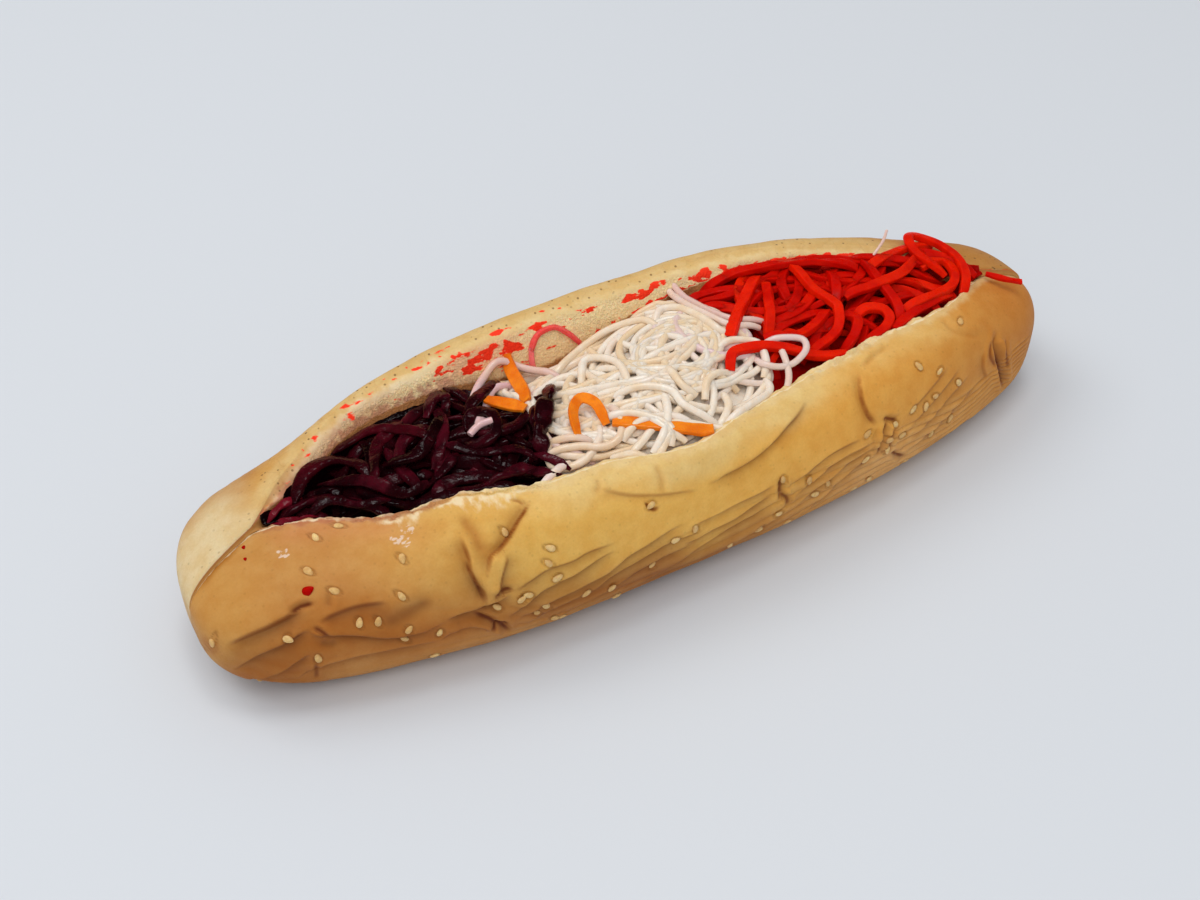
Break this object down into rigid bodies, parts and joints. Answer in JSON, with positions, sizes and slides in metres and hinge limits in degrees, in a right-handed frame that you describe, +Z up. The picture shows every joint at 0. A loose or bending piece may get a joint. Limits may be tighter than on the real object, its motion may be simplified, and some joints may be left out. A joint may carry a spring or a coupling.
{
  "type": "filled sesame bread roll",
  "caption": "Long sesame bread roll slit along its top and heaped with shredded beetroot, white radish and red carrot.",
  "frame": {"origin": "centre of the bounding box on the flat underside", "axes": "+X along the roll towards the red carrot end, +Z up out of the slit, -Y out of the seeded side"},
  "size_m": [0.3006, 0.0939, 0.0621],
  "materials": {
    "roll": "baked golden crust with cut crumb",
    "beetroot": "wet, dark burgundy",
    "radish": "wet, translucent cream",
    "carrot": "wet, deep red",
    "orange": "wet, orange"
  },
  "bodies": {
    "root": {"bun": "roll", "beetroot_heap": "beetroot", "radish_heap": "radish", "red_carrot_heap": "carrot", "orange_strip_1": "orange", "orange_strip_2": "orange", "orange_strip_3": "orange", "orange_strip_4": "orange"}
  },
  "joints": []
}
